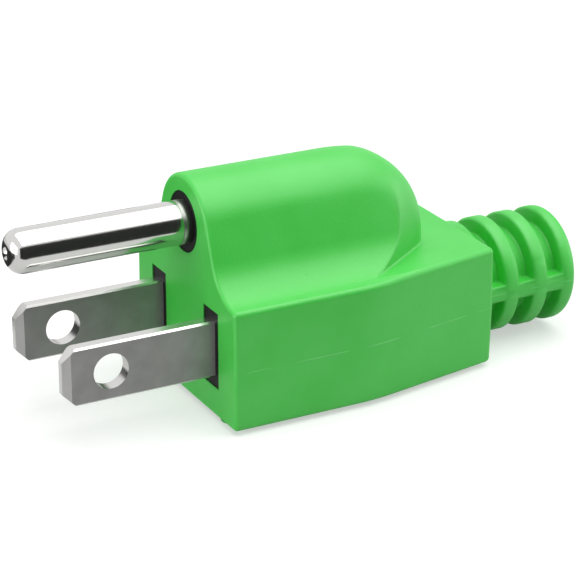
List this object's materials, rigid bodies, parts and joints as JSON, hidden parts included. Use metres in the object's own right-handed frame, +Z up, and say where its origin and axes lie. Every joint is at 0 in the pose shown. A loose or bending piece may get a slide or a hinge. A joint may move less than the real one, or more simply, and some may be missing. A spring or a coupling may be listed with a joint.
{
  "type": "bonding plug",
  "caption": "Moulded three-contact plug with a round earth pin, flat blades with holes, a soft cover and a ribbed strain relief, for bonding to earth at a socket.",
  "frame": {"origin": "on the seating face, midway between the two flat blades", "axes": "-Y is the way the contacts point, +Y the way the cord would leave, +Z up from the blades to the earth pin, +X across the blades"},
  "size_m": [0.0242, 0.0664, 0.0252],
  "materials": {
    "cover_pvc": "soft PVC, satin moulded",
    "bridge_plastic": "matt moulded",
    "pin_plating": "bright nickel plate",
    "blade_plating": "satin nickel plate on stamped strip"
  },
  "bodies": {
    "root": {"cover": "cover_pvc", "bridge": "bridge_plastic", "earth_pin": "pin_plating", "line_blade": "blade_plating", "neutral_blade": "blade_plating"}
  },
  "joints": []
}
